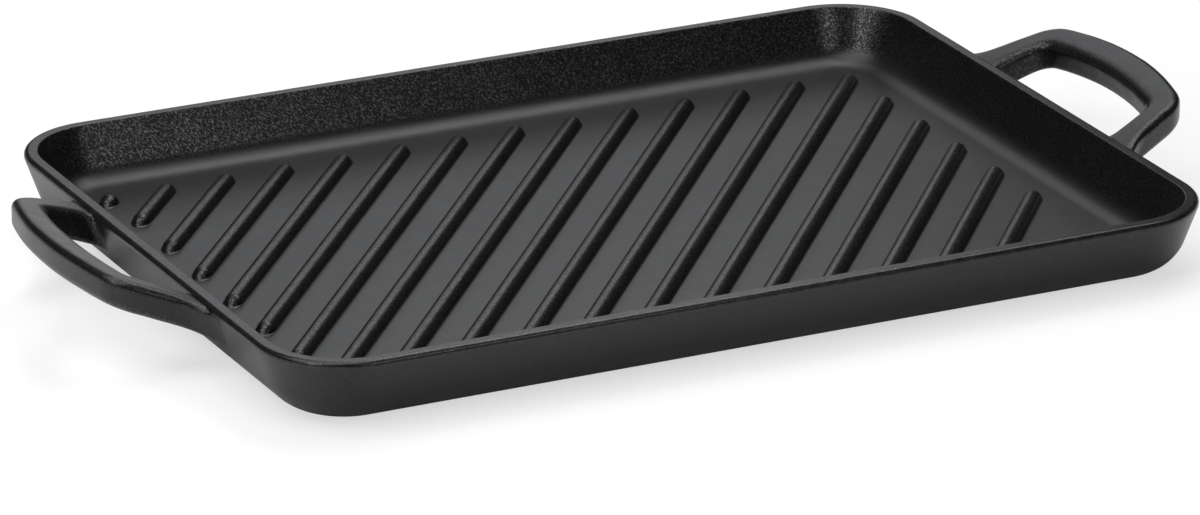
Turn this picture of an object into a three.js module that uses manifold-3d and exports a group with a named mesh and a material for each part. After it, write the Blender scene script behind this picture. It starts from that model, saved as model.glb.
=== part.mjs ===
// Cast-iron grill plate: a shallow flared tray with diagonal ribs on its floor and a loop handle at each end.
// Millimetres. +X runs along the plate's length, +Y across it, +Z up. The origin is the middle of the base.

import * as THREE from 'three';
import { mergeVertices } from 'three/addons/utils/BufferGeometryUtils.js';
import Module from 'manifold-3d';

// Tray
const TRAY_LENGTH = 310; // at the rim, before its edge is rounded
const TRAY_WIDTH = 225.5;
const RIM_HEIGHT = 22.2;
const WALL_FLARE = 7.9; // how far each wall's outside leans out between the base and the rim
const INNER_FLARE = 8.2; // how far its inside leans out between the floor and the rim
const CORNER_RADIUS = 28.3; // outer corner at the rim, seen from above
const RIM_WIDTH = 4.8;
const RIM_OUTER_ROUND = 1.2;
const RIM_INNER_ROUND = 0.6;
const FLOOR_THICKNESS = 5.6;
const FLOOR_FILLET = 9; // inside, where the wall runs out into the floor
const BASE_ROUND = 14; // outside, where the wall turns under into the base
const FLAT_MARGIN = 11; // from the corner that a round replaces to the last ring on the flat

// Ribs
const RIB_COUNT = 18;
const MIDDLE_RIB = 10; // this rib's line passes over the middle of the plate
const RIB_PITCH = 19.9; // measured along the plate's length
const RIB_ANGLE = THREE.MathUtils.degToRad(50.3);
const RIB_HEIGHT = 2.85; // half-round in section
const RIB_WIDTH = 5.6;
const RIB_CREST_FLAT = 0.6;
const RIB_FIELD_LENGTH = 256; // the ribs' domed ends have their centres on a rectangle of this size
const RIB_FIELD_WIDTH = 165.6;
const STUD_OUTSIDE = 1.9; // the stud stands this far beyond the field's corner along the plate
const STUD_INSIDE = 1.2; // and this far inside it across the plate

// Handles: the loop as seen from above, measured outwards from the rim's edge
const LOOP_OUTSIDE = { rootHalf: 48.2, taper: 19.3, cornerRadius: 12.4, gripRadius: 121, reach: 31.1 };
const LOOP_INSIDE = { rootHalf: 36, taper: 11, cornerRadius: 6.2, gripRadius: 125, reach: 21.6 };
const HANDLE_TOP = 21.45; // height of the loop's top face where it meets the wall
const HANDLE_RISE = 0.451; // upward slope of the loop at the wall
const HANDLE_BOW = 0.003; // how fast that slope eases off, per millimetre squared
const HANDLE_DEPTH = 9.9;
const OUTER_EDGE_ROUND = 3;
const INNER_EDGE_ROUND = 2; // the edges round the finger hole
const OUTER_ROOT_FILLET = 8; // where the arms' outer sides run into the wall
const INNER_ROOT_FILLET = 3;
const UNDERSIDE_SHARE = 0.2; // how much of a side's fillet the arms' underside has
const ROOT_LENGTH = 9; // length of arm built inside the wall before it is cut to fit
const FIT_GAP = 0.3;

// Finishes
const TRAY_FINISH = { color: 0x2c2d2e, roughness: 0.5, metalness: 0.3 };
const RIB_FINISH = { color: 0x2a2a2b, roughness: 0.55, metalness: 0.3 };
const HANDLE_FINISH = { color: 0x2c2d2e, roughness: 0.45, metalness: 0.3 };

// Steps to each round stretch
const TRAY_CORNER_STEPS = 8;
const SECTION_STEPS = 5;
const SLOT_END_STEPS = 6;
const STUD_SIDES = 16;
const ARM_STEPS = 10;
const LOOP_CORNER_STEPS = 8;
const GRIP_STEPS = 7;
const HANDLE_EDGE_STEPS = 3;

const QUARTER_TURN = Math.PI / 2;

const wasm = await Module();
wasm.setup();

// The points of an arc of a circle.
function arc(centre, radius, from, to, steps, clockwise = false) {
  return new THREE.EllipseCurve(centre.x, centre.y, radius, radius, from, to, clockwise).getPoints(steps);
}

// A line through corners given as [x, y, radius], each rounded by its radius. The two ends are plain points.
function roundedLine(corners) {
  const points = corners.map(([x, y]) => new THREE.Vector2(x, y));
  const line = [points[0]];
  for (let i = 1; i < points.length - 1; i += 1) {
    const radius = corners[i][2];
    const back = points[i - 1].clone().sub(points[i]).normalize();
    const onward = points[i + 1].clone().sub(points[i]).normalize();
    const halfAngle = Math.acos(back.dot(onward)) / 2;
    const inward = back.clone().add(onward).normalize();
    const centre = points[i].clone().addScaledVector(inward, radius / Math.sin(halfAngle));
    const reach = radius / Math.tan(halfAngle);
    const start = points[i].clone().addScaledVector(back, reach).sub(centre);
    const end = points[i].clone().addScaledVector(onward, reach).sub(centre);
    const clockwise = back.cross(onward) > 0;
    line.push(...arc(centre, radius, start.angle(), end.angle(), SECTION_STEPS, clockwise));
  }
  line.push(points.at(-1));
  return line;
}

// The points of a rounded rectangle about the origin, counterclockwise, with steps to each corner.
function roundedRectangle(length, width, radius, steps) {
  const x = length / 2 - radius;
  const y = width / 2 - radius;
  const corners = [[x, y], [-x, y], [-x, -y], [x, -y]];
  return corners.flatMap((corner, i) => {
    const from = i * QUARTER_TURN;
    return arc(new THREE.Vector2(...corner), radius, from, from + QUARTER_TURN, steps);
  });
}

// The points of a slot with round ends about the origin, counterclockwise.
function roundedSlot(centreDistance, radius) {
  const right = new THREE.Vector2(centreDistance / 2, 0);
  const left = new THREE.Vector2(-centreDistance / 2, 0);
  return [
    ...arc(right, radius, -QUARTER_TURN, QUARTER_TURN, SLOT_END_STEPS),
    ...arc(left, radius, QUARTER_TURN, 3 * QUARTER_TURN, SLOT_END_STEPS),
  ];
}

// Lifts flat points to a height.
function atHeight(points, z) {
  return points.map((point) => new THREE.Vector3(point.x, point.y, z));
}

// A closed body through rings of equally many points, with a fan across the first ring and the last.
function loft(rings) {
  const count = rings[0].length;
  const points = rings.flat();
  const ends = [rings[0], rings.at(-1)];
  const middles = ends.map((ring) => {
    const sum = ring.reduce((total, point) => total.add(point), new THREE.Vector3());
    return sum.divideScalar(count);
  });
  const firstMiddle = points.length;
  const lastMiddle = points.length + 1;
  const lastRing = points.length - count;
  const triangles = [];
  for (let i = 0; i < count; i += 1) {
    const next = (i + 1) % count;
    for (let ring = 0; ring < lastRing; ring += count) {
      triangles.push(ring + i, ring + next, ring + count + next);
      triangles.push(ring + i, ring + count + next, ring + count + i);
    }
    triangles.push(firstMiddle, next, i);
    triangles.push(lastMiddle, lastRing + i, lastRing + next);
  }
  const geometry = new THREE.BufferGeometry().setFromPoints([...points, ...middles]);
  geometry.setIndex(triangles);
  geometry.computeVertexNormals();
  return geometry;
}

// The solid of a closed geometry, ready to be joined or cut.
function toSolid(geometry) {
  const bare = geometry.clone();
  bare.deleteAttribute('normal');
  bare.deleteAttribute('uv');
  const merged = mergeVertices(bare);
  const mesh = new wasm.Mesh({
    numProp: 3,
    vertProperties: Float32Array.from(merged.attributes.position.array),
    triVerts: Uint32Array.from(merged.index.array),
  });
  return new wasm.Manifold(mesh);
}

// The geometry of a solid.
function toGeometry(solid) {
  const mesh = solid.getMesh();
  const geometry = new THREE.BufferGeometry();
  geometry.setAttribute('position', new THREE.BufferAttribute(mesh.vertProperties, 3));
  geometry.setIndex(new THREE.BufferAttribute(mesh.triVerts, 1));
  geometry.computeVertexNormals();
  return geometry;
}

// How far the straight part of the outer wall lies inside the rim's edge at a height.
function wallInset(z) {
  return WALL_FLARE * (1 - z / RIM_HEIGHT);
}

// The tray's outline, drawn in by an inset, at a height.
function trayRing(inset, z) {
  const length = TRAY_LENGTH - 2 * inset;
  const width = TRAY_WIDTH - 2 * inset;
  return atHeight(roundedRectangle(length, width, CORNER_RADIUS - inset, TRAY_CORNER_STEPS), z);
}

// Floor, wall and rim: the wall's section carried round the outline, from under the base to the floor.
function trayGeometry() {
  const floorEdge = RIM_WIDTH + INNER_FLARE;
  const section = roundedLine([
    [WALL_FLARE + FLAT_MARGIN, 0],
    [WALL_FLARE, 0, BASE_ROUND],
    [0, RIM_HEIGHT, RIM_OUTER_ROUND],
    [RIM_WIDTH, RIM_HEIGHT, RIM_INNER_ROUND],
    [floorEdge, FLOOR_THICKNESS, FLOOR_FILLET],
    [floorEdge + FLAT_MARGIN, FLOOR_THICKNESS],
  ]);
  return loft(section.map((point) => trayRing(point.x, point.y)));
}

// The half-round section of a rib, from its foot to its crest: x is half the rib's width at the height y.
function ribSection() {
  const crest = Math.acos(RIB_CREST_FLAT / RIB_WIDTH);
  return new THREE.EllipseCurve(0, 0, RIB_WIDTH / 2, RIB_HEIGHT, 0, crest).getPoints(SECTION_STEPS);
}

// A straight rib with domed ends, lying along X.
function ribGeometry(length) {
  return loft(ribSection().map((point) => atHeight(roundedSlot(length, point.x), point.y)));
}

// A rib of no length: the rib's section turned about its middle.
function studGeometry() {
  const middleOfFoot = new THREE.Vector2(0, 0);
  const middleOfCrest = new THREE.Vector2(0, RIB_HEIGHT);
  const turned = new THREE.LatheGeometry([middleOfFoot, ...ribSection(), middleOfCrest], STUD_SIDES);
  turned.rotateX(QUARTER_TURN);
  turned.deleteAttribute('normal');
  turned.deleteAttribute('uv');
  const geometry = mergeVertices(turned);
  geometry.computeVertexNormals();
  return geometry;
}

// Where a rib's line crosses the plate's long axis.
function ribCrossing(number) {
  return (number - MIDDLE_RIB) * RIB_PITCH;
}

// The stretch of a rib's line inside the rib field, as distances along it from the long axis.
function ribStretch(number) {
  const acrossLimit = RIB_FIELD_WIDTH / 2 / Math.sin(RIB_ANGLE);
  const leftLimit = (-RIB_FIELD_LENGTH / 2 - ribCrossing(number)) / Math.cos(RIB_ANGLE);
  const rightLimit = (RIB_FIELD_LENGTH / 2 - ribCrossing(number)) / Math.cos(RIB_ANGLE);
  return [Math.max(-acrossLimit, leftLimit), Math.min(acrossLimit, rightLimit)];
}

// Half of a loop's outline from inside the wall to the grip's middle: arm, corner and bowed grip.
function halfLoop({ rootHalf, taper, cornerRadius, gripRadius, reach }) {
  const angle = THREE.MathUtils.degToRad(taper);
  const along = new THREE.Vector2(Math.cos(angle), -Math.sin(angle));
  const outward = new THREE.Vector2(Math.sin(angle), Math.cos(angle));
  const root = new THREE.Vector2(0, rootHalf);
  const gripCentre = new THREE.Vector2(reach - gripRadius, 0);

  // The corner's centre lies one corner radius inside the arm and inside the grip's circle.
  const start = root.clone().addScaledVector(outward, -cornerRadius).sub(gripCentre);
  const lean = start.dot(along);
  const distance = -lean + Math.sqrt(lean ** 2 - start.lengthSq() + (gripRadius - cornerRadius) ** 2);
  const cornerOffset = start.addScaledVector(along, distance);
  const corner = gripCentre.clone().add(cornerOffset);
  const turn = Math.atan2(cornerOffset.y, cornerOffset.x);

  const armStart = root.clone().addScaledVector(along, -ROOT_LENGTH);
  const armEnd = corner.clone().addScaledVector(outward, cornerRadius);
  const arm = new THREE.LineCurve(armStart, armEnd);
  return [
    ...arm.getPoints(ARM_STEPS).slice(0, -1),
    ...arc(corner, cornerRadius, outward.angle(), turn, LOOP_CORNER_STEPS, true).slice(0, -1),
    ...arc(gripCentre, gripRadius, turn, 0, GRIP_STEPS, true),
  ];
}

// A whole loop outline, from one root to the other.
function loopOutline(loop) {
  const half = halfLoop(loop);
  const mirrored = half.slice(0, -1).map((point) => new THREE.Vector2(point.x, -point.y));
  return [...half, ...mirrored.reverse()];
}

// Height of the loop's top face at a distance outwards from the rim's edge.
function handleTop(out) {
  return HANDLE_TOP + HANDLE_RISE * out - HANDLE_BOW * out ** 2;
}

// How far an arm's side has swollen towards its fillet with the wall, at a gap from the wall.
function rootSwell(gap, fillet) {
  const remaining = fillet - THREE.MathUtils.clamp(gap, 0, fillet);
  return fillet - Math.sqrt(fillet ** 2 - remaining ** 2);
}

// The loop's section about its middle, with x towards the outside, grown outwards by an amount.
function handleSection(width, growth) {
  const x = width / 2;
  const y = HANDLE_DEPTH / 2;
  const corners = [[x, y], [-x, y], [-x, -y], [x, -y]];
  return corners.flatMap(([cornerX, cornerY], i) => {
    const round = cornerX > 0 ? OUTER_EDGE_ROUND : INNER_EDGE_ROUND;
    const centreX = cornerX - Math.sign(cornerX) * round;
    const centreY = cornerY - Math.sign(cornerY) * round;
    const centre = new THREE.Vector2(centreX, centreY);
    const from = i * QUARTER_TURN;
    return arc(centre, round + growth, from, from + QUARTER_TURN, HANDLE_EDGE_STEPS);
  });
}

// The loop's section between a point of its inside and one of its outside, swollen where it nears the wall.
function handleRing(inside, outside) {
  const across = outside.clone().sub(inside);
  const width = across.length();
  const middle = inside.clone().add(outside).divideScalar(2);
  across.normalize();
  const section = handleSection(width, 0);

  // A section one millimetre larger all round gives the outward normal at each point.
  const larger = handleSection(width, 1);
  return section.map((point, i) => {
    const normal = larger[i].clone().sub(point);
    const place = middle.clone().addScaledVector(across, point.x);
    const height = handleTop(place.x) + point.y - HANDLE_DEPTH / 2;
    const fillet = normal.x > 0 ? OUTER_ROOT_FILLET : INNER_ROOT_FILLET;
    const swell = rootSwell(place.x + wallInset(height), fillet);
    place.addScaledVector(across, normal.x * swell);
    const drop = UNDERSIDE_SHARE * Math.min(normal.y, 0) * swell;
    return new THREE.Vector3(TRAY_LENGTH / 2 + place.x, place.y, height + drop);
  });
}

// The loop handle of the +X end, cut to stand just clear of the wall.
function handleGeometry() {
  const outside = loopOutline(LOOP_OUTSIDE);
  const inside = loopOutline(LOOP_INSIDE);
  const loop = loft(inside.map((point, i) => handleRing(point, outside[i])));
  const heights = [-RIM_HEIGHT, 3 * RIM_HEIGHT];
  const wallSide = loft(heights.map((z) => trayRing(wallInset(z) - FIT_GAP, z)));
  return toGeometry(toSolid(loop).subtract(toSolid(wallSide)));
}

// A named piece of the casting with its own material.
function piece(name, geometry, finish) {
  const mesh = new THREE.Mesh(geometry, new THREE.MeshStandardMaterial(finish));
  mesh.name = name;
  return mesh;
}

// A rib in its place on the floor, counted from the -X end.
function rib(number) {
  const [from, to] = ribStretch(number);
  const middle = (from + to) / 2;
  const mesh = piece(`grill_rib_${String(number).padStart(2, '0')}`, ribGeometry(to - from), RIB_FINISH);
  const x = ribCrossing(number) + middle * Math.cos(RIB_ANGLE);
  mesh.position.set(x, middle * Math.sin(RIB_ANGLE), FLOOR_THICKNESS);
  mesh.rotation.z = RIB_ANGLE;
  return mesh;
}

// The stud in the corner beyond the first rib.
function cornerStud() {
  const mesh = piece('corner_stud', studGeometry(), RIB_FINISH);
  const x = -RIB_FIELD_LENGTH / 2 - STUD_OUTSIDE;
  mesh.position.set(x, RIB_FIELD_WIDTH / 2 - STUD_INSIDE, FLOOR_THICKNESS);
  return mesh;
}

// A handle, turned about the middle of the plate to its own end.
function handle(name, turn) {
  const mesh = piece(name, handleGeometry(), HANDLE_FINISH);
  mesh.rotation.z = turn;
  return mesh;
}

const plate = new THREE.Group();
plate.name = 'grill_plate';
plate.add(piece('tray', trayGeometry(), TRAY_FINISH));
for (let number = 1; number <= RIB_COUNT; number += 1) {
  plate.add(rib(number));
}
plate.add(cornerStud());
plate.add(handle('right_handle', 0));
plate.add(handle('left_handle', Math.PI));

export default plate;
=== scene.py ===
"""Cast-iron grill plate, dressed for the studio.

A flared tray, diagonal grill ribs and a loop handle at each end. Metres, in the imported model's
frame: +X along the plate, +Y across it, +Z up, the origin in the middle of the base.
"""

import logging
import math
from dataclasses import dataclass
from enum import Enum
from typing import Callable, Sequence

import bpy
from bpy.types import Material, Mesh, Node, NodeSocket as Socket, NodeTree, Object
from mathutils import Matrix, Vector, noise


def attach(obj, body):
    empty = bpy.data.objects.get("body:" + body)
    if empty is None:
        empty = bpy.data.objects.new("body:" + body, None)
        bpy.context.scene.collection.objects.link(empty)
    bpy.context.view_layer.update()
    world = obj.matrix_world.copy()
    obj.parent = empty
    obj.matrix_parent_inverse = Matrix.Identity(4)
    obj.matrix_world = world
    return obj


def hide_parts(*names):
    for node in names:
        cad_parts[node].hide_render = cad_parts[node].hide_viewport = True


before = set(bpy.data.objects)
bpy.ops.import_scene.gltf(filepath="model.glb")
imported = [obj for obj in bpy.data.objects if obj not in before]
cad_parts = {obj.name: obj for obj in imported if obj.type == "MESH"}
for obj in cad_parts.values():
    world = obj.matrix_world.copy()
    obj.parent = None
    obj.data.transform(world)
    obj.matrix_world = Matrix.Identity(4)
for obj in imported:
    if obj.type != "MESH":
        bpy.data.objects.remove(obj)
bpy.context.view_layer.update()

log = logging.getLogger("grill_plate")

MM = 0.001
QUARTER = math.pi / 2.0
BODY = "root"
RIB_END = "rib_end"
HALF_LENGTH = "half_length"
RIPPLE_RATE = 2.3
RIPPLE_SHARE = 0.5
NODE_SPACING = 220.0
MIX_FIRST, MIX_SECOND, MIX_RESULT = 6, 7, 2  # where a Mix node keeps its colours

Triple = tuple[float, float, float]
Colour = Triple
Range = tuple[float, float]
Number = Socket | float

WHITE: Colour = (1.0, 1.0, 1.0)


class PlateEnd(Enum):
    """The two short ends of the plate, each with its turn about the upright axis."""

    RIGHT = 0.0
    LEFT = math.pi


class Slot(Enum):
    """The material slots, whose names the finishes take."""

    TRAY = "tray_iron"
    RIBS = "rib_iron"
    HANDLES = "handle_iron"


class Mark(Enum):
    """Values that the meshes carry at their points for the finishes to read."""

    GRAIN = "grain"
    # Rubbed edges, which the finish also lightens as a painted highlight.
    WEAR = "wear"
    SATIN = "satin"


def smooth_step(low: float, high: float, value: float) -> float:
    """Eases from 0 at low to 1 at high."""
    t = min(max((value - low) / (high - low), 0.0), 1.0)
    return t * t * (3.0 - 2.0 * t)


def arc(centre: Vector, radius: float, start: float, end: float, steps: int) -> list[Vector]:
    """The points of an arc of a circle.

    Args:
        centre: The circle's middle.
        radius: The circle's radius.
        start: The angle of the first point, in radians.
        end: The angle of the last point; larger turns counterclockwise.
        steps: How many steps lie between the two.

    Returns:
        The points, both ends included.
    """
    angles = [start + (end - start) * i / steps for i in range(steps + 1)]
    return [centre + radius * Vector((math.cos(a), math.sin(a))) for a in angles]


@dataclass(frozen=True)
class Corner:
    """A corner of a section, with the look of the casting round it."""

    across: float
    height: float
    radius: float = 0.0
    steps: int = 6
    grain: float = 0.3
    wear: float = 0.0
    satin: float = 0.0


@dataclass(frozen=True)
class SectionPoint:
    """A point of a section: how far across, how high, how grainy, how worn and painted highlit, and
    how satiny.
    """

    across: float
    height: float
    grain: float
    wear: float
    satin: float = 0.0


def rounded_section(corners: Sequence[Corner], holds: Sequence[float]) -> list[SectionPoint]:
    """A section through corners that are each rounded by their radius.

    Args:
        corners: The corners in order. A corner's grain and satin belong to the straight stretch
            that leaves it.
        holds: Shares of each straight stretch at which it gets a point of its own.

    Returns:
        The section's points from the first corner to the last.
    """
    points = [Vector((c.across, c.height)) for c in corners]
    rounds: list[list[Vector]] = [[points[0]]]
    for i in range(1, len(points) - 1):
        back = (points[i - 1] - points[i]).normalized()
        onward = (points[i + 1] - points[i]).normalized()
        half = math.acos(back.dot(onward)) / 2.0
        radius = corners[i].radius
        centre = points[i] + (back + onward).normalized() * (radius / math.sin(half))
        start = points[i] + back * (radius / math.tan(half)) - centre
        end = points[i] + onward * (radius / math.tan(half)) - centre
        first = math.atan2(start.y, start.x)
        turn = math.atan2(start.x * end.y - start.y * end.x, start.dot(end))
        rounds.append(arc(centre, radius, first, first + turn, corners[i].steps))
    rounds.append([points[-1]])

    section: list[SectionPoint] = []
    for i, (corner, bend) in enumerate(zip(corners, rounds)):
        before = corners[max(i - 1, 0)]
        for k, p in enumerate(bend):
            # The look changes over the first third of a bend.
            share = min(3.0 * k / max(len(bend) - 1, 1), 1.0)
            grain = before.grain + (corner.grain - before.grain) * share
            satin = before.satin + (corner.satin - before.satin) * share
            section.append(SectionPoint(p.x, p.y, grain, corner.wear, satin))
        if i + 1 < len(rounds):
            for share in holds:
                p = bend[-1].lerp(rounds[i + 1][0], share)
                section.append(SectionPoint(p.x, p.y, corner.grain, 0.0, corner.satin))
    return section


def rounded_rectangle(
    length: float, width: float, radius: float, steps: int, sides: tuple[int, int]
) -> list[Vector]:
    """The points of a rounded rectangle about the origin, counterclockwise.

    Args:
        length: Its size along X.
        width: Its size along Y.
        radius: The radius of its corners.
        steps: Steps to each corner.
        sides: Steps to each side along X and along Y.

    Returns:
        The points, without a repeat of the first.
    """
    x = length / 2.0 - radius
    y = width / 2.0 - radius
    middles = (Vector((x, y)), Vector((-x, y)), Vector((-x, -y)), Vector((x, -y)))
    bends = []
    for i, middle in enumerate(middles):
        bends.append(arc(middle, radius, i * QUARTER, (i + 1) * QUARTER, steps))
    points: list[Vector] = []
    for i, bend in enumerate(bends):
        points.extend(bend)
        after = bends[(i + 1) % 4][0]
        count = sides[i % 2]
        points.extend(bend[-1].lerp(after, k / count) for k in range(1, count))
    return points


@dataclass
class LoftPoint:
    """A point of a loft in space, with its marks."""

    place: Vector
    grain: float
    wear: float
    satin: float = 0.0


def loft(name: str, rings: Sequence[Sequence[LoftPoint]]) -> Mesh:
    """A closed smooth mesh through rings of equally many points, with a fan across each end.

    Args:
        name: The mesh's name.
        rings: The rings in order, each counterclockwise about the way that the loft runs.

    Returns:
        The mesh, with its marks as point attributes.
    """
    count = len(rings[0])
    points = [p for ring in rings for p in ring]
    for ring in (rings[0], rings[-1]):
        middle = sum((p.place for p in ring), Vector((0.0, 0.0, 0.0))) / count
        points.append(LoftPoint(middle, ring[0].grain, ring[0].wear, ring[0].satin))
    first_middle = len(points) - 2
    last_middle = len(points) - 1
    last_ring = first_middle - count
    faces: list[tuple[int, ...]] = []
    for i in range(count):
        after = (i + 1) % count
        for start in range(0, last_ring, count):
            faces.append((start + i, start + after, start + count + after, start + count + i))
        faces.append((first_middle, after, i))
        faces.append((last_middle, last_ring + i, last_ring + after))
    mesh = bpy.data.meshes.new(name)
    mesh.from_pydata([p.place for p in points], [], faces)
    mesh.shade_smooth()
    for mark in Mark:
        attribute = mesh.attributes.new(mark.value, "FLOAT", "POINT")
        attribute.data.foreach_set("value", [getattr(p, mark.value) for p in points])
    mesh.validate()
    mesh.update()
    return mesh


def cast_waves(mesh: Mesh, height: float, length: float, share: Callable[[Vector], float]) -> None:
    """Moves a mesh's points in and out as a sand mould leaves them.

    Args:
        mesh: The mesh to move.
        height: How far a point moves at most.
        length: The length of the waves.
        share: How much of the movement a place gets.
    """
    normals = [v.normal.copy() for v in mesh.vertices]
    for vertex, normal in zip(mesh.vertices, normals):
        ripple = RIPPLE_SHARE * noise.noise(vertex.co * RIPPLE_RATE / length)
        swell = noise.noise(vertex.co / length) + ripple
        vertex.co += normal * (height * swell * share(vertex.co))
    mesh.update()


def add_piece(name: str, mesh: Mesh, finish: Material) -> Object:
    """Puts a finished mesh into the scene as a piece at the origin, in one finish.

    Args:
        name: The piece's name.
        mesh: Its mesh, which holds its place.
        finish: The material all over it.

    Returns:
        The piece.
    """
    piece = bpy.data.objects.new(name, mesh)
    bpy.context.scene.collection.objects.link(piece)
    mesh.materials.clear()
    mesh.materials.append(finish)
    return piece


def claim(piece: Object, nodes: Sequence[str]) -> None:
    """Has a piece ride on the plate's body and stand for its solids, and reports it.

    Args:
        piece: The finished piece.
        nodes: The solids that it stands for.
    """
    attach(piece, BODY)
    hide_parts(*nodes)
    log.info("%s: %d faces, stands for %d solids", piece.name, len(piece.data.polygons), len(nodes))


class NodeSketch:
    """A small pencil for drawing nodes and the links between them."""

    def __init__(self, tree: NodeTree) -> None:
        """Starts on a cleared tree."""
        self.tree = tree
        tree.nodes.clear()

    def node(self, kind: str, **settings: object) -> Node:
        """Adds a node.

        Args:
            kind: Blender's name for the node's type.
            settings: The node's own settings, by name.

        Returns:
            The node.
        """
        made = self.tree.nodes.new(kind)
        made.location = (NODE_SPACING * len(self.tree.nodes), 0.0)
        for key, value in settings.items():
            setattr(made, key, value)
        return made

    def feed(self, source: Number | tuple, target: Socket) -> None:
        """Links a socket to a target, or writes a plain value on it.

        Args:
            source: The socket or value.
            target: The socket that takes it.
        """
        if isinstance(source, Socket):
            self.tree.links.new(source, target)
        else:
            target.default_value = source

    def math(self, operation: str, *values: Number) -> Socket:
        """Works out one sum.

        Args:
            operation: Blender's name for the sum.
            values: The sockets and numbers that go into it.

        Returns:
            The result.
        """
        made = self.node("ShaderNodeMath", operation=operation)
        for value, socket in zip(values, made.inputs):
            self.feed(value, socket)
        return made.outputs[0]

    def noise(self, place: Socket, size: float, detail: float, rough: float = 0.5) -> Socket:
        """Draws cloudy noise.

        Args:
            place: The coordinates that it is drawn on.
            size: About how far across its features are.
            detail: How many finer layers lie over it.
            rough: How strong those are.

        Returns:
            The noise, about 0.5 on average.
        """
        made = self.node("ShaderNodeTexNoise")
        self.feed(place, made.inputs["Vector"])
        made.inputs["Scale"].default_value = 1.0 / size
        made.inputs["Detail"].default_value = detail
        made.inputs["Roughness"].default_value = rough
        return made.outputs["Fac"]

    def ranged(self, value: Socket, span: Range, to: Range = (0.0, 1.0)) -> Socket:
        """Maps one range of a value to another, and keeps to it.

        Args:
            value: The value.
            span: The range that is mapped.
            to: The range that it becomes.

        Returns:
            The mapped value.
        """
        made = self.node("ShaderNodeMapRange")
        for number, socket in zip((value, *span, *to), made.inputs):
            self.feed(number, socket)
        return made.outputs[0]

    def drawn_out(self, place: Socket, size: Triple, turn: Triple = (0.0, 0.0, 0.0)) -> Socket:
        """Turns and stretches coordinates, so that a pattern on them is drawn out.

        Args:
            place: The coordinates.
            size: How far the pattern is stretched along each axis.
            turn: How the axes are turned.

        Returns:
            The new coordinates.
        """
        made = self.node("ShaderNodeMapping", vector_type="TEXTURE")
        made.inputs["Rotation"].default_value = turn
        made.inputs["Scale"].default_value = size
        self.feed(place, made.inputs["Vector"])
        return made.outputs["Vector"]

    def bump(self, distance: float, height: Socket, under: Socket | None = None) -> Socket:
        """Raises a relief.

        Args:
            distance: How high it stands at most.
            height: Its height, from 0 to 1.
            under: The relief that it lies on, if any.

        Returns:
            The surface's normal.
        """
        made = self.node("ShaderNodeBump")
        made.inputs["Distance"].default_value = distance
        self.feed(height, made.inputs["Height"])
        if under is not None:
            self.feed(under, made.inputs["Normal"])
        return made.outputs["Normal"]

    def blend(self, factor: Socket, first: Socket, second: Colour) -> Socket:
        """Mixes a plain colour into another.

        Args:
            factor: How much of the plain colour there is.
            first: The colour that it goes into.
            second: The plain colour.

        Returns:
            The mixed colour.
        """
        made = self.node("ShaderNodeMix", data_type="RGBA")
        self.feed(factor, made.inputs["Factor"])
        self.feed(first, made.inputs[MIX_FIRST])
        self.feed(opaque(second), made.inputs[MIX_SECOND])
        return made.outputs[MIX_RESULT]

    def vector(self, *parts: Number) -> Socket:
        """Joins three numbers.

        Args:
            parts: The numbers along X, Y and Z.

        Returns:
            The vector.
        """
        made = self.node("ShaderNodeCombineXYZ")
        for value, socket in zip(parts, made.inputs):
            self.feed(value, socket)
        return made.outputs[0]

    def store(self, geometry: Socket, name: str, value: Number) -> Socket:
        """Keeps a number on each point.

        Args:
            geometry: The points.
            name: The number's name.
            value: The number.

        Returns:
            The points with it.
        """
        made = self.node("GeometryNodeStoreNamedAttribute", data_type="FLOAT", domain="POINT")
        made.inputs["Name"].default_value = name
        self.feed(geometry, made.inputs["Geometry"])
        self.feed(value, made.inputs["Value"])
        return made.outputs["Geometry"]

    def stored(self, name: str) -> Socket:
        """Reads a number that each point keeps.

        Args:
            name: The number's name.

        Returns:
            The number.
        """
        made = self.node("GeometryNodeInputNamedAttribute", data_type="FLOAT")
        made.inputs["Name"].default_value = name
        return made.outputs["Attribute"]

    def mark(self, mark: Mark) -> Socket:
        """Reads a mark that the mesh carries."""
        return self.node("ShaderNodeAttribute", attribute_name=mark.value).outputs["Fac"]


def opaque(colour: Colour) -> tuple[float, float, float, float]:
    """A colour with its alpha."""
    return (*colour, 1.0)


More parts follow.
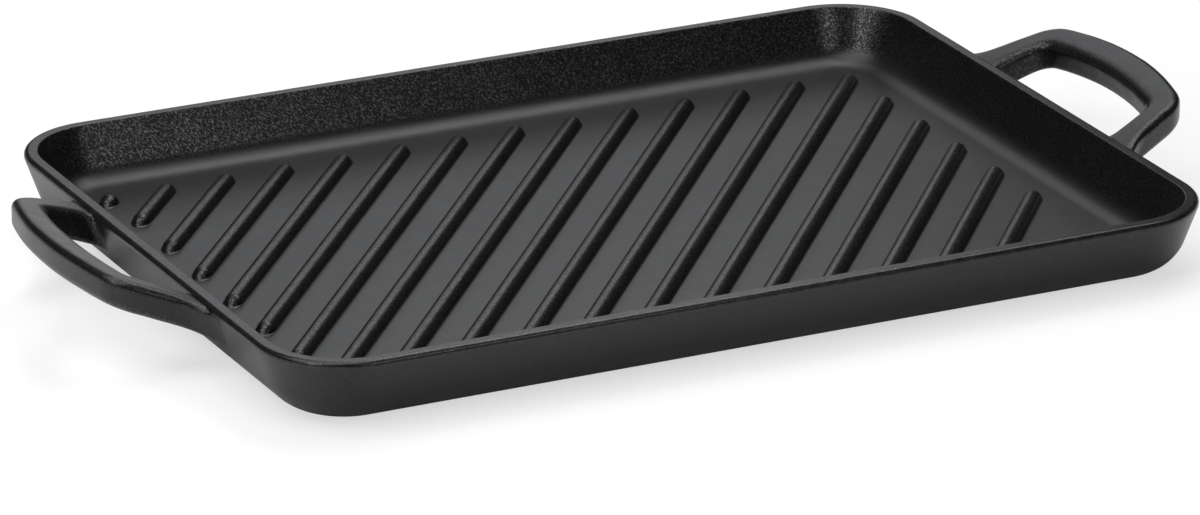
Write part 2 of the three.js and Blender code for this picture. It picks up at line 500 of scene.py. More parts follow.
@dataclass(frozen=True)
class CastIron:
    """Seasoned black cast iron: sandy grain, soft waves, cloudy colour, painted glints on the
    grain, and rubbed edges lightened as a painted highlight.
    """

    name: str
    deep: Colour = (0.0034, 0.0035, 0.0036)
    light: Colour = (0.0060, 0.0061, 0.0062)
    cloud_size: float = 22.0 * MM
    cloud_range: Range = (0.3, 0.7)
    # The grey of rubbed edges, which also serves as their painted highlight.
    rubbed_and_highlit: Colour = (0.016, 0.0165, 0.017)
    patch_size: float = 3.5 * MM
    patch_range: Range = (0.4, 0.62)
    # A lighter colour on the grain's tops: painted glints.
    painted_glint: Colour = (0.0062, 0.0063, 0.0064)
    painted_glint_range: Range = (0.52, 0.66)
    even_shine: float = 0.5
    sparkle: Range = (0.16, 1.7)
    sparkle_range: Range = (0.49, 0.72)
    roughness: float = 0.305
    roughness_spread: float = 0.02
    mottle_size: float = 6.0 * MM
    mottle_range: Range = (0.3, 0.7)
    polish: float = 0.01
    satin: float = 0.1
    grain_size: float = 0.42 * MM
    grain_turn: Triple = (0.0, math.radians(52.0), 0.0)
    grain_stretch: Triple = (3.0, 1.0, 1.0)
    grain_height: float = 0.07 * MM
    sand_size: float = 0.42 * MM
    sand_share: float = 0.3
    wave_size: float = 26.0 * MM
    wave_height: float = 0.25 * MM
    streak_size: Triple = (60.0 * MM, 1.1 * MM, 60.0 * MM)
    streak_height: float = 0.012 * MM

    def material(self) -> Material:
        """Draws the finish.

        Returns:
            The material, which reads Object coordinates and the mesh's marks.
        """
        made = bpy.data.materials.new(self.name)
        made.use_nodes = True
        sketch = NodeSketch(made.node_tree)
        place = sketch.node("ShaderNodeTexCoord").outputs["Object"]
        grain = sketch.mark(Mark.GRAIN)
        wear = sketch.mark(Mark.WEAR)
        satin = sketch.mark(Mark.SATIN)
        pebbles = self._pebbles(sketch, place)
        # The grain's tops, where the painted glints go.
        painted_glints = sketch.math("MULTIPLY", sketch.ranged(pebbles, self.painted_glint_range), grain)
        looks = {
            "Base Color": self._colour(sketch, place, painted_glints, wear),
            "Roughness": self._roughness(sketch, place, wear, satin),
            "Normal": self._relief(sketch, place, pebbles, grain),
            "Specular IOR Level": self._shine(sketch, pebbles, grain),
        }
        shader = sketch.node("ShaderNodeBsdfPrincipled")
        for socket, look in looks.items():
            sketch.feed(look, shader.inputs[socket])
        output = sketch.node("ShaderNodeOutputMaterial")
        sketch.feed(shader.outputs["BSDF"], output.inputs["Surface"])
        return made

    def _pebbles(self, sketch: NodeSketch, place: Socket) -> Socket:
        """The grain itself, drawn out along a slant on the long walls."""
        leaning = sketch.drawn_out(place, self.grain_stretch, self.grain_turn)
        return sketch.noise(leaning, self.grain_size, detail=2.0, rough=0.55)

    def _colour(self, sketch: NodeSketch, place: Socket, painted_glints: Socket, wear: Socket) -> Socket:
        """Clouds of two blacks, with a grey where the edges are rubbed, which is their painted
        highlight too, and painted glints on the grain's tops.

        Args:
            sketch: The pencil.
            place: The coordinates.
            painted_glints: Where the grain's tops get painted glints.
            wear: Where the edges are rubbed and get a painted highlight.

        Returns:
            The colour.
        """
        ramp = sketch.node("ShaderNodeValToRGB")
        stops = zip(ramp.color_ramp.elements, self.cloud_range, (self.deep, self.light))
        for stop, position, colour in stops:
            stop.position = position
            stop.color = opaque(colour)
        clouds = sketch.noise(place, self.cloud_size, detail=5.0, rough=0.6)
        sketch.feed(clouds, ramp.inputs["Fac"])
        patches = sketch.noise(place, self.patch_size, detail=4.0, rough=0.65)
        # The rubbed edges turn grey: wear, and a painted highlight on them as well.
        bare_and_highlit = sketch.math("MULTIPLY", wear, sketch.ranged(patches, self.patch_range))
        worn_and_highlit = sketch.blend(bare_and_highlit, ramp.outputs["Color"], self.rubbed_and_highlit)
        # Painted glints lighten the grain's tops.
        return sketch.blend(painted_glints, worn_and_highlit, self.painted_glint)

    def _roughness(self, sketch: NodeSketch, place: Socket, wear: Socket, satin: Socket) -> Socket:
        """A patchy satin, smoother where the edges are rubbed and duller on the ground floor.

        Args:
            sketch: The pencil.
            place: The coordinates.
            wear: Where the edges are rubbed, the mark that also paints their highlight.
            satin: Where the floor is ground.

        Returns:
            The roughness.
        """
        low = self.roughness - self.roughness_spread
        high = self.roughness + self.roughness_spread
        mottle = sketch.noise(place, self.mottle_size, detail=4.0, rough=0.6)
        patchy = sketch.ranged(mottle, self.mottle_range, (low, high))
        rubbed_and_highlit = sketch.math("MULTIPLY_ADD", wear, -self.polish, patchy)
        return sketch.math("MULTIPLY_ADD", satin, self.satin, rubbed_and_highlit)

    def _shine(self, sketch: NodeSketch, pebbles: Socket, grain: Socket) -> Socket:
        """An even shine, broken up where the grain is strong: its tops shine and its pits less.

        Args:
            sketch: The pencil.
            pebbles: The grain.
            grain: How strong it is.

        Returns:
            The specular level.
        """
        dots = sketch.ranged(pebbles, self.sparkle_range, self.sparkle)
        change = sketch.math("SUBTRACT", dots, self.even_shine)
        return sketch.math("MULTIPLY_ADD", change, grain, self.even_shine)

    def _relief(self, sketch: NodeSketch, place: Socket, pebbles: Socket, grain: Socket) -> Socket:
        """Soft waves under fine streaks under the grain of the sand mould.

        Args:
            sketch: The pencil.
            place: The coordinates.
            pebbles: The grain.
            grain: How strong it is.

        Returns:
            The surface's normal.
        """
        waves = sketch.bump(self.wave_height, sketch.noise(place, self.wave_size, detail=1.0))
        lines = sketch.noise(sketch.drawn_out(place, self.streak_size), 1.0, detail=2.0)
        streaks = sketch.bump(self.streak_height, lines, waves)
        sand = sketch.noise(place, self.sand_size, detail=1.0)
        height = sketch.math("MULTIPLY_ADD", sand, self.sand_share, pebbles)
        return sketch.bump(self.grain_height, sketch.math("MULTIPLY", height, grain), streaks)


@dataclass
class Tray:
    """The flared tray: floor, wall and rim in one shell."""

    length: float = 310.0 * MM
    width: float = 225.5 * MM
    rim_height: float = 22.2 * MM
    flare: float = 7.9 * MM
    inner_flare: float = 8.2 * MM
    corner_radius: float = 28.3 * MM
    rim_width: float = 4.8 * MM
    rim_outer_round: float = 1.5 * MM
    rim_inner_round: float = 0.6 * MM
    floor_thickness: float = 5.6 * MM
    floor_fillet: float = 9.0 * MM
    base_round: float = 14.0 * MM
    flat_margin: float = 11.0 * MM
    wave_height: float = 0.03 * MM
    wave_length: float = 17.0 * MM
    wave_start: float = 2.0 * MM
    corner_steps: int = 22
    side_steps: tuple[int, int] = (86, 56)
    holds: tuple[float, ...] = (0.05, 0.3, 0.7, 0.95)

    def wall_inset(self, z: float) -> float:
        """How far the straight part of the outer wall lies inside the rim's edge at a height."""
        return self.flare * (1.0 - z / self.rim_height)

    def section(self) -> list[SectionPoint]:
        """The wall's section.

        Returns:
            Its points from under the base, over the rim, to the floor.
        """
        floor = self.floor_thickness
        floor_edge = self.rim_width + self.inner_flare
        corners = (
            Corner(self.flare + self.flat_margin, 0.0, grain=0.1),
            Corner(self.flare, 0.0, self.base_round, steps=18, grain=0.1),
            # The rim's rounds are marked as rubbed, and the finish lightens them as a painted
            # highlight.
            Corner(0.0, self.rim_height, self.rim_outer_round, steps=8, grain=0.4, wear=0.8),
            Corner(self.rim_width, self.rim_height, self.rim_inner_round, grain=1.0, wear=0.6),
            Corner(floor_edge, floor, self.floor_fillet, steps=16, grain=0.05, satin=1.0),
            Corner(floor_edge + self.flat_margin, floor, grain=0.05, satin=1.0),
        )
        return rounded_section(corners, self.holds)

    def ring(self, point: SectionPoint) -> list[LoftPoint]:
        """The tray's outline, drawn in to a point of the section.

        Args:
            point: The point.

        Returns:
            The outline at its height, with its marks.
        """
        inset = point.across
        outline = rounded_rectangle(
            self.length - 2.0 * inset,
            self.width - 2.0 * inset,
            self.corner_radius - inset,
            self.corner_steps,
            self.side_steps,
        )
        lift = Vector((0.0, 0.0, point.height))
        return [LoftPoint(p.to_3d() + lift, point.grain, point.wear, point.satin) for p in outline]

    def build(self, finish: CastIron) -> Object:
        """Casts the tray.

        Args:
            finish: The iron it is cast in.

        Returns:
            The finished piece.
        """
        mesh = loft("tray_casting", [self.ring(point) for point in self.section()])
        span = (self.wave_start, self.floor_thickness + self.floor_fillet)
        cast_waves(mesh, self.wave_height, self.wave_length, lambda p: smooth_step(*span, p.z))
        piece = add_piece("tray_casting", mesh, finish.material())
        claim(piece, ["tray"])
        return piece


@dataclass
class RibField:
    """The diagonal grill ribs and the stud beyond the first of them."""

    floor: float = 5.6 * MM
    count: int = 18
    middle_rib: int = 10
    pitch: float = 19.9 * MM
    angle: float = math.radians(50.3)
    height: float = 2.85 * MM
    width: float = 5.6 * MM
    crest_flat: float = 0.3 * MM
    root_fillet: float = 0.5 * MM
    root_lift: float = 0.01 * MM
    skirt_drop: float = 0.4 * MM
    left_reach: float = 129.3 * MM
    left_lean: float = 0.03
    right_reach: float = 126.7 * MM
    field_width: float = 165.6 * MM
    stud_place: tuple[float, float] = (-129.9 * MM, 81.6 * MM)
    end_ramp: float = 2.0 * MM
    skirt_grain: float = 0.2
    root_grain: float = 0.3
    crown_grain: float = 0.75
    crest_wear_and_highlight: float = 0.7
    worn_and_highlit_range: Range = (0.75, 0.95)
    merge_distance: float = 0.002 * MM
    root_steps: int = 6
    section_steps: int = 16
    end_steps: int = 16

    def section(self) -> list[SectionPoint]:
        """Half of a rib's half-round section.

        Returns:
            Its points from under the floor to the crest.
        """
        half = self.width / 2.0
        skirt = half + self.root_fillet
        points = [SectionPoint(skirt, -self.skirt_drop, self.skirt_grain, 0.0)]
        middle = Vector((skirt, self.root_fillet + self.root_lift))
        for p in arc(middle, self.root_fillet, -QUARTER, -2.0 * QUARTER, self.root_steps)[:-1]:
            points.append(SectionPoint(p.x, p.y, self.root_grain, 0.0))
        crown = self.height - middle.y
        last = math.acos(self.crest_flat / self.width)
        for p in arc(Vector((0.0, 0.0)), 1.0, 0.0, last, self.section_steps):
            # The crest's top is marked as rubbed and gets a painted highlight.
            wear = self.crest_wear_and_highlight * smooth_step(*self.worn_and_highlit_range, p.y)
            points.append(SectionPoint(half * p.x, middle.y + crown * p.y, self.crown_grain, wear))
        return points

    def rib_end_pair(self) -> Mesh:
        """The two round ends of a rib set against each other.

        Returns:
            Their mesh, with each point marked with its end.
        """
        rings = []
        for point in self.section():
            turn = arc(Vector((0.0, 0.0)), point.across, -QUARTER, QUARTER, self.end_steps)
            turn += arc(Vector((0.0, 0.0)), point.across, QUARTER, 3.0 * QUARTER, self.end_steps)
            ramp = self.end_ramp * min(1.0 - point.height / self.height, 1.0) ** 2
            for p in turn:
                facing = p.x / point.across
                p.x += math.copysign(ramp * facing**2, facing)
            lift = Vector((0.0, 0.0, point.height))
            rings.append([LoftPoint(p.to_3d() + lift, point.grain, point.wear) for p in turn])
        half = self.end_steps + 1
        ends = ([1.0] * half + [-1.0] * half) * len(rings) + [0.0, 0.0]
        mesh = loft("rib_ends", rings)
        attribute = mesh.attributes.new(RIB_END, "FLOAT", "POINT")
        attribute.data.foreach_set("value", ends)
        return mesh

    def sizes(self) -> dict[str, float | int]:
        """The pattern's named inputs.

        Returns:
            A value for each of them.
        """
        return {
            "Count": self.count,
            "First Crossing": (1 - self.middle_rib) * self.pitch,
            "Pitch": self.pitch,
            "Angle": self.angle,
            "Left Reach": self.left_reach,
            "Left Lean": self.left_lean,
            "Right Reach": self.right_reach,
            "Half Field Width": self.field_width / 2.0,
            "Floor": self.floor,
            "Stud X": self.stud_place[0],
            "Stud Y": self.stud_place[1],
        }

    def pattern(self, material: Material) -> NodeTree:
        """Draws the tree that sets the ribs out over the floor.

        Args:
            material: The ribs' finish.

        Returns:
            The tree, with the pair of rib ends and the sizes as its inputs.
        """
        tree = bpy.data.node_groups.new("rib_pattern", "GeometryNodeTree")
        face = tree.interface
        face.new_socket("Rib Ends", in_out="INPUT", socket_type="NodeSocketGeometry")
        for name, value in self.sizes().items():
            kind = "NodeSocketInt" if isinstance(value, int) else "NodeSocketFloat"
            face.new_socket(name, in_out="INPUT", socket_type=kind)
        face.new_socket("Ribs", in_out="OUTPUT", socket_type="NodeSocketGeometry")

        sketch = NodeSketch(tree)
        given = sketch.node("NodeGroupInput").outputs
        sine = sketch.math("SINE", given["Angle"])
        cosine = sketch.math("COSINE", given["Angle"])

        def along(distance: Socket) -> Socket:
            """A step along the ribs."""
            steps = (sketch.math("MULTIPLY", distance, share) for share in (cosine, sine))
            return sketch.vector(*steps, 0.0)

        # A point for each rib where it crosses the plate's long axis
        line = sketch.node("GeometryNodeMeshLine", mode="OFFSET")
        first = sketch.vector(given["First Crossing"], 0.0, given["Floor"])
        sketch.feed(given["Count"], line.inputs["Count"])
        sketch.feed(first, line.inputs["Start Location"])
        sketch.feed(sketch.vector(given["Pitch"], 0.0, 0.0), line.inputs["Offset"])

        # How far each rib runs both ways until it meets an edge of the field
        split = sketch.node("ShaderNodeSeparateXYZ")
        sketch.feed(sketch.node("GeometryNodeInputPosition").outputs[0], split.inputs[0])
        crossing = split.outputs["X"]
        across = sketch.math("DIVIDE", given["Half Field Width"], sine)
        to_left = sketch.math("ADD", given["Left Reach"], crossing)
        to_right = sketch.math("SUBTRACT", given["Right Reach"], crossing)
        leaning = sketch.math("SUBTRACT", cosine, sketch.math("MULTIPLY", given["Left Lean"], sine))
        near = sketch.math("MINIMUM", across, sketch.math("DIVIDE", to_left, leaning))
        far = sketch.math("MINIMUM", across, sketch.math("DIVIDE", to_right, cosine))
        half = sketch.math("MULTIPLY", sketch.math("ADD", near, far), 0.5)
        middle = sketch.math("MULTIPLY", sketch.math("SUBTRACT", far, near), 0.5)

        # The points moved to the ribs' middles, with the stud's point beside them
        placed = sketch.node("GeometryNodeSetPosition")
        measured = sketch.store(line.outputs["Mesh"], HALF_LENGTH, half)
        sketch.feed(measured, placed.inputs["Geometry"])
        sketch.feed(along(middle), placed.inputs["Offset"])
        spots = sketch.node("GeometryNodeMeshToPoints")
        sketch.feed(placed.outputs["Geometry"], spots.inputs["Mesh"])
        stud = sketch.node("GeometryNodePoints")
        stud.inputs["Count"].default_value = 1
        stud_spot = sketch.vector(given["Stud X"], given["Stud Y"], given["Floor"])
        sketch.feed(stud_spot, stud.inputs["Position"])
        joined = sketch.node("GeometryNodeJoinGeometry")
        sketch.feed(sketch.store(stud.outputs[0], HALF_LENGTH, 0.0), joined.inputs[0])
        sketch.feed(spots.outputs[0], joined.inputs[0])

        # A pair of ends on each point, drawn apart to the rib's length
        copies = sketch.node("GeometryNodeInstanceOnPoints")
        sketch.feed(joined.outputs[0], copies.inputs["Points"])
        sketch.feed(given["Rib Ends"], copies.inputs["Instance"])
        sketch.feed(sketch.vector(0.0, 0.0, given["Angle"]), copies.inputs["Rotation"])
        real = sketch.node("GeometryNodeRealizeInstances")
        sketch.feed(copies.outputs[0], real.inputs[0])
        reach = sketch.math("MULTIPLY", sketch.stored(RIB_END), sketch.stored(HALF_LENGTH))
        drawn = sketch.node("GeometryNodeSetPosition")
        sketch.feed(real.outputs[0], drawn.inputs["Geometry"])
        sketch.feed(along(reach), drawn.inputs["Offset"])
        merged = sketch.node("GeometryNodeMergeByDistance")
        merged.inputs["Distance"].default_value = self.merge_distance
        sketch.feed(drawn.outputs["Geometry"], merged.inputs["Geometry"])
        dressed = sketch.node("GeometryNodeSetMaterial")
        dressed.inputs["Material"].default_value = material
        sketch.feed(merged.outputs["Geometry"], dressed.inputs["Geometry"])
        sketch.feed(dressed.outputs["Geometry"], sketch.node("NodeGroupOutput").inputs["Ribs"])
        return tree

    def build(self, finish: CastIron) -> Object:
        """Casts the ribs and the stud.

        Args:
            finish: The iron they are cast in.

        Returns:
            The finished piece.
        """
        material = finish.material()
        piece = add_piece("grill_ribs", self.rib_end_pair(), material)
        tree = self.pattern(material)
        modifier = piece.modifiers.new("rib_pattern", "NODES")
        modifier.node_group = tree
        sizes = self.sizes()
        for socket in tree.interface.items_tree:
            if socket.name in sizes:
                modifier[socket.identifier] = sizes[socket.name]
        evaluated = piece.evaluated_get(bpy.context.evaluated_depsgraph_get())
        mesh = bpy.data.meshes.new_from_object(evaluated)
        piece.modifiers.clear()
        piece.data = mesh
        nodes = [f"grill_rib_{number:02d}" for number in range(1, self.count + 1)]
        claim(piece, [*nodes, "corner_stud"])
        return piece


@dataclass(frozen=True)
class Loop:
    """One side of a handle's loop as seen from above, measured outwards from the rim's edge."""

    root_half: float
    taper: float
    corner_radius: float
    grip_radius: float
    reach: float

    def half(self, places: Sequence[float], corner_steps: int, grip_steps: int) -> list[Vector]:
        """Half of the loop's line from the wall to the grip's middle.

        Args:
            places: Shares of the arm's length that get a point; below 0 is inside the wall.
            corner_steps: Steps round the corner.
            grip_steps: Steps along half of the grip.

        Returns:
            The points of arm, corner and bowed grip.
        """
        along = Vector((math.cos(self.taper), -math.sin(self.taper)))
        outward = Vector((math.sin(self.taper), math.cos(self.taper)))
        root = Vector((0.0, self.root_half))
        grip_centre = Vector((self.reach - self.grip_radius, 0.0))
        start = root - outward * self.corner_radius - grip_centre
        lean = start.dot(along)
        room = (self.grip_radius - self.corner_radius) ** 2
        distance = -lean + math.sqrt(lean * lean - start.length_squared + room)
        corner = grip_centre + start + along * distance
        arm_end = corner + outward * self.corner_radius
        turn = math.atan2(corner.y - grip_centre.y, corner.x - grip_centre.x)
        first = math.atan2(outward.y, outward.x)
        points = [root.lerp(arm_end, share) for share in places]
        points += arc(corner, self.corner_radius, first, turn, corner_steps)
        points += arc(grip_centre, self.grip_radius, turn, 0.0, grip_steps)[1:]
        return points

    def whole(self, places: Sequence[float], corner_steps: int, grip_steps: int) -> list[Vector]:
        """The loop's whole line from one root to the other."""
        half = self.half(places, corner_steps, grip_steps)
        return half + [Vector((p.x, -p.y)) for p in reversed(half[:-1])]


@dataclass
class LoopHandle:
    """A loop handle that grows out of the wall of one short end."""

    tray: Tray
    outside: Loop = Loop(
        root_half=48.2 * MM,
        taper=math.radians(19.3),
        corner_radius=12.4 * MM,
        grip_radius=121.0 * MM,
        reach=31.1 * MM,
    )
    inside: Loop = Loop(
        root_half=36.0 * MM,
        taper=math.radians(11.0),
        corner_radius=6.2 * MM,
        grip_radius=125.0 * MM,
        reach=21.6 * MM,
    )
    top: float = 21.45 * MM
    rise: float = 0.451
    bow: float = 3.0
    depth: float = 9.9 * MM
    outer_edge_round: float = 3.0 * MM
    inner_edge_round: float = 2.0 * MM
    inner_top_round: float = 2.8 * MM
    inner_lean: float = 2.3 * MM
    outer_root_fillet: float = 8.0 * MM
    inner_root_fillet: float = 3.0 * MM
    underside_share: float = 0.2
    slant_range: Range = (3.0 * MM, 14.0 * MM)
    slant_rounds: int = 3
    grain: float = 0.12
    edge_grain: float = 0.4
    inner_grain: float = 0.3
    edge_wear_and_highlight: float = 0.25
    wave_height: float = 0.10 * MM
    wave_length: float = 11.0 * MM
    wave_range: Range = (2.0 * MM, 10.0 * MM)
    edge_steps: int = 10
    side_steps: int = 5
    arm_steps: int = 16
    fillet_steps: int = 14
    corner_steps: int = 18
    grip_steps: int = 26
    buried: float = 0.09
    arm_length: float = 19.0 * MM

    def arm_places(self) -> list[float]:
        """Shares of the arm's length for its rings.

        Returns:
            The shares, closest together where the fillet meets the wall.
        """
        places = [-self.buried, -self.buried / 2.0]
        for i in range(self.fillet_steps):
            angle = QUARTER * (1.0 - i / self.fillet_steps)
            places.append(self.outer_root_fillet * (1.0 - math.sin(angle)) / self.arm_length)
        first = self.outer_root_fillet / self.arm_length
        places += [first + (1.0 - first) * i / self.arm_steps for i in range(self.arm_steps)]
        return places

    def top_at(self, out: float) -> float:
        """Height of the loop's top face at a distance outwards from the rim's edge."""
        return self.top + self.rise * out - self.bow * out * out

    def swell(self, gap: float, fillet: float) -> float:
        """How far an arm's side has swollen towards its fillet at a gap from the wall."""
        left = fillet - min(max(gap, 0.0), fillet)
        return fillet - math.sqrt(fillet * fillet - left * left)

    def section(self, width: float) -> list[tuple[Vector, Vector]]:
        """The loop's section about its middle, with x towards the outside.

        Args:
            width: The section's width.

        Returns:
            The section's points, counterclockwise, each with its outward normal.
        """
        bends = []
        for i, (side, level) in enumerate(((1.0, 1.0), (-1.0, 1.0), (-1.0, -1.0), (1.0, -1.0))):
            inner_round = self.inner_top_round if level > 0.0 else self.inner_edge_round
            radius = self.outer_edge_round if side > 0.0 else inner_round
            middle = Vector((side * (width / 2.0 - radius), level * (self.depth / 2.0 - radius)))
            normals = arc(Vector((0.0, 0.0)), 1.0, i * QUARTER, (i + 1) * QUARTER, self.edge_steps)
            bends.append([(middle + normal * radius, normal) for normal in normals])
        points = []
        for i, bend in enumerate(bends):
            point, normal = bend[-1]
            after = bends[(i + 1) % 4][0][0]
            points += bend
            shares = (k / self.side_steps for k in range(1, self.side_steps))
            points += [(point.lerp(after, share), normal) for share in shares]
        return points

    def ring(self, inside: Vector, outside: Vector) -> list[LoftPoint]:
        """The loop's section between a point of its inside and one of its outside.

        Args:
            inside: The point on the loop's inner line.
            outside: The point on its outer line.

        Returns:
            The section's points, swollen where it nears the wall and slanted with it.
        """
        width = (outside - inside).length
        across = (outside - inside).normalized()
        middle = (inside + outside) / 2.0
        points = []
        for p, normal in self.section(width):
            inward = max(-2.0 * p.x / width, 0.0) * (p.y / self.depth + 0.5) * across.x**2
            place = middle + across * (p.x - self.inner_lean * inward)
            out = place.x
            slant = 1.0 - smooth_step(*self.slant_range, out)
            # The wall leans, so a point's height and its distance settle together.
            for _ in range(self.slant_rounds):
                height = self.top_at(place.x) + p.y - self.depth / 2.0
                place.x = out - self.tray.wall_inset(height) * slant
            fillet = self.outer_root_fillet if normal.x > 0.0 else self.inner_root_fillet
            swollen = self.swell(place.x + self.tray.wall_inset(height), fillet)
            place += across * (normal.x * swollen)
            height += self.underside_share * min(normal.y, 0.0) * swollen
            bend = abs(normal.x * normal.y) * 2.0
            spot = Vector((self.tray.length / 2.0 + place.x, place.y, height))
            grain = self.grain + self.edge_grain * bend + self.inner_grain * max(-normal.x, 0.0)
            # Upper edges are marked as rubbed and get a painted highlight.
            points.append(LoftPoint(spot, grain, self.edge_wear_and_highlight * bend * max(normal.y, 0.0)))
        return points

    def build(self, end: PlateEnd, finish: CastIron) -> Object:
        """Casts the handle of one end.

        Args:
            end: The plate's end.
            finish: The iron it is cast in.

        Returns:
            The finished piece.
        """
        node = f"{end.name.lower()}_handle"
        name = f"{node}_loop"
        places = self.arm_places()
        outside = self.outside.whole(places, self.corner_steps, self.grip_steps)
        inside = self.inside.whole(places, self.corner_steps, self.grip_steps)
        mesh = loft(name, [self.ring(i, o) for i, o in zip(inside, outside)])
        span = [self.tray.length / 2.0 + out for out in self.wave_range]
        cast_waves(mesh, self.wave_height, self.wave_length, lambda p: smooth_step(*span, p.x))
        mesh.transform(Matrix.Rotation(end.value, 4, "Z"))
        mesh.update()
        piece = add_piece(name, mesh, finish.material())
        claim(piece, [node])
        return piece


@dataclass
class PhotoCamera:
    """A long lens at the photograph's angle."""

    azimuth: float = math.radians(26.4785)
    elevation: float = math.radians(20.7582)
    roll: float = math.radians(-0.2082)
    distance: float = 2.34587
    aside: float = 0.00207
    above: float = 0.00544
    lens: float = 230.57
    sensor: float = 36.0
    clip: Range = (0.1, 60.0)

    def place(self) -> Object:
        """Sets the camera up and makes it the scene's own.

        Returns:
            The camera, which sees the middle of the base aside and above of its axis.
        """
        level = math.cos(self.elevation)
        east, north = math.sin(self.azimuth), math.cos(self.azimuth)
        forward = Vector((east * level, north * level, -math.sin(self.elevation)))
        flat_right = Vector((north, -east, 0.0))
        flat_down = forward.cross(flat_right)
        right = flat_right * math.cos(self.roll) + flat_down * math.sin(self.roll)
        up = right.cross(forward)
        data = bpy.data.cameras.new("photo_camera")
        data.lens = self.lens
        data.sensor_width = self.sensor
        data.clip_start, data.clip_end = self.clip
        camera = bpy.data.objects.new("photo_camera", data)
        turn = Matrix((right, up, -forward)).transposed()
        camera.matrix_world = turn.to_4x4()
        camera.location = -forward * self.distance - right * self.aside - up * self.above
        bpy.context.scene.collection.objects.link(camera)
        bpy.context.scene.camera = camera
        return camera


@dataclass(frozen=True)
class SoftBox:
    """A soft rectangular lamp that faces the plate, from an azimuth and an elevation in degrees."""

    name: str
    azimuth: float
    elevation: float
    distance: float
    width: float
    height: float
    level: float
    aim: Triple = (0.0, 0.0, 0.0)
    tint: Colour = WHITE

    def hang(self) -> Object:
        """Hangs the lamp.

        Returns:
            The lamp, as bright all over as its level says, seen in reflections only.
        """
        data = bpy.data.lights.new(self.name, "AREA")
        data.shape = "RECTANGLE"
        data.size = self.width
        data.size_y = self.height
        data.energy = self.level * math.pi * self.width * self.height
        data.color = self.tint
        lamp = bpy.data.objects.new(self.name, data)
        azimuth = math.radians(self.azimuth)
        elevation = math.radians(self.elevation)
        level = math.cos(elevation)
        away = Vector((math.sin(azimuth) * level, -math.cos(azimuth) * level, math.sin(elevation)))
        lamp.location = Vector(self.aim) + away * self.distance
        lamp.rotation_euler = away.to_track_quat("Z", "Y").to_euler()
        lamp.visible_camera = False
        bpy.context.scene.collection.objects.link(lamp)
        return lamp


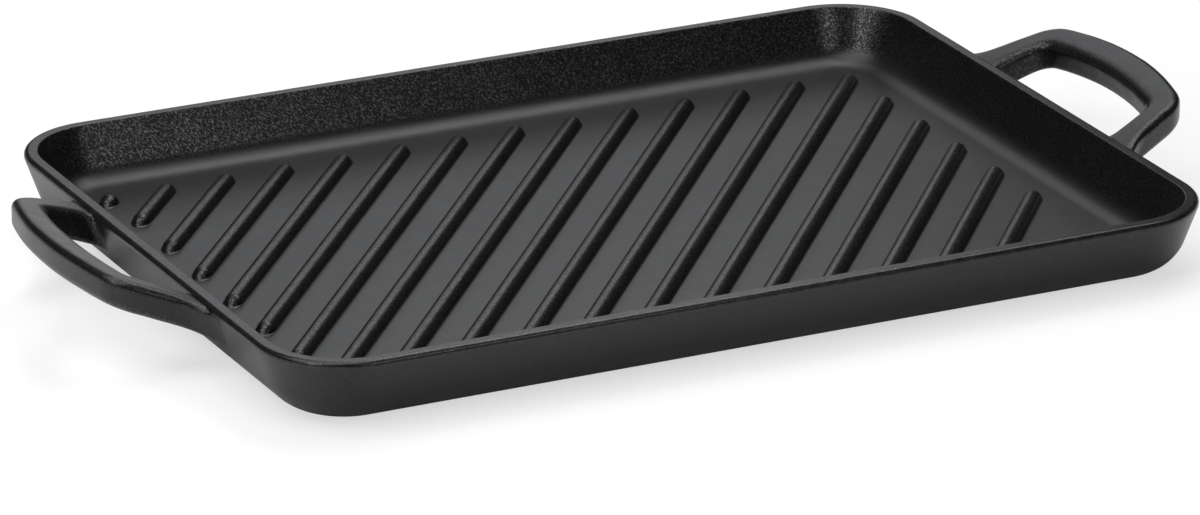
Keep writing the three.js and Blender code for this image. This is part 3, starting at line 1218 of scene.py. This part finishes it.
@dataclass
class Studio:
    """A white floor, a dim room and a few soft lamps."""

    floor_size: float = 14.0
    floor_colour: Colour = (0.90, 0.90, 0.90)
    floor_roughness: float = 0.22
    floor_drop: float = 0.05 * MM
    floor_glow: float = 1.27
    floor_lift: float = 0.5
    lift_range: Range = (0.24, 0.5)
    floor_shine: float = 0.8
    shine_range: Range = (0.14, 0.24)
    room_level: float = 0.045
    # Each lamp's name, azimuth, elevation, distance, width, height and level
    lamps: tuple[SoftBox, ...] = (
        SoftBox("back_box", 158.0, 42.0, 1.05, 0.525, 1.14, 0.98, tint=(0.95, 0.97, 1.0)),
        SoftBox("low_box", 153.6, 5.5, 2.9, 0.4, 0.4, 1.15),
        SoftBox("top_box", 124.0, 61.0, 1.3, 0.8, 0.5, 3.6),
        SoftBox("left_box", -80.0, 68.0, 1.4, 1.1, 1.5, 2.6),
        SoftBox("key_box", 25.0, 27.0, 0.62, 0.12, 0.12, 3.0, aim=(-0.15, 0.1, 0.0)),
        SoftBox("front_strip", 8.0, 31.0, 2.2, 0.07, 0.5, 32.0),
        SoftBox("left_strip", -65.0, 31.0, 2.2, 0.07, 0.5, 58.0),
    )

    def build(self) -> None:
        """Lays the floor, lights the room and hangs the lamps."""
        self._floor()
        self._room()
        for lamp in self.lamps:
            lamp.hang()

    def _floor(self) -> None:
        """Lays a pale floor, lifted towards white where it is seen, that keeps a shadow."""
        half = self.floor_size / 2.0
        sides = ((-half, -half), (half, -half), (half, half), (-half, half))
        mesh = bpy.data.meshes.new("studio_floor")
        mesh.from_pydata([(x, y, -self.floor_drop) for x, y in sides], [], [(0, 1, 2, 3)])
        material = bpy.data.materials.new("studio_floor")
        material.use_nodes = True
        sketch = NodeSketch(material.node_tree)
        path = sketch.node("ShaderNodeLightPath").outputs
        place = sketch.node("ShaderNodeTexCoord").outputs["Object"]
        away = sketch.node("ShaderNodeVectorMath", operation="LENGTH")
        sketch.feed(place, away.inputs[0])
        lift = sketch.ranged(away.outputs["Value"], self.lift_range, (self.floor_lift, 1.0))
        seen = sketch.math("MULTIPLY", lift, path["Is Camera Ray"])
        split = sketch.node("ShaderNodeSeparateXYZ")
        sketch.feed(place, split.inputs[0])
        aside = sketch.math("ABSOLUTE", split.outputs["X"])
        shine = sketch.ranged(aside, self.shine_range, (0.0, self.floor_shine))
        shader = sketch.node("ShaderNodeBsdfPrincipled")
        shader.inputs["Base Color"].default_value = opaque(self.floor_colour)
        shader.inputs["Roughness"].default_value = self.floor_roughness
        white = sketch.node("ShaderNodeEmission")
        white.inputs["Strength"].default_value = self.floor_glow
        mixed = sketch.node("ShaderNodeMixShader")
        share = sketch.math("MULTIPLY_ADD", path["Is Glossy Ray"], shine, seen)
        for source, target in zip((share, shader.outputs[0], white.outputs[0]), mixed.inputs):
            sketch.feed(source, target)
        sketch.feed(mixed.outputs[0], sketch.node("ShaderNodeOutputMaterial").inputs["Surface"])
        add_piece("studio_floor", mesh, material)

    def _room(self) -> None:
        """Lights the room dimly, so that the iron mirrors the lamps, and white to the camera."""
        world = bpy.data.worlds.new("studio_room")
        bpy.context.scene.world = world
        world.use_nodes = True
        sketch = NodeSketch(world.node_tree)
        path = sketch.node("ShaderNodeLightPath").outputs
        background = sketch.node("ShaderNodeBackground")
        background.inputs["Color"].default_value = opaque(WHITE)
        strength = sketch.math("MAXIMUM", path["Is Camera Ray"], self.room_level)
        sketch.feed(strength, background.inputs["Strength"])
        sketch.feed(background.outputs[0], sketch.node("ShaderNodeOutputWorld").inputs["Surface"])


def main() -> None:
    """Builds the studio and the plate, piece by piece."""
    logging.basicConfig(level=logging.INFO, format="%(name)s: %(message)s")
    bpy.context.scene.view_settings.view_transform = "Standard"
    PhotoCamera().place()
    Studio().build()
    tray = Tray()
    tray.build(CastIron(Slot.TRAY.value))
    RibField().build(CastIron(Slot.RIBS.value, roughness=0.31, sparkle=(0.1, 2.0)))
    handle = LoopHandle(tray)
    handle_iron = CastIron(Slot.HANDLES.value, roughness=0.34, grain_height=0.12 * MM)
    for end in PlateEnd:
        handle.build(end, handle_iron)


if __name__ == "__main__":
    main()
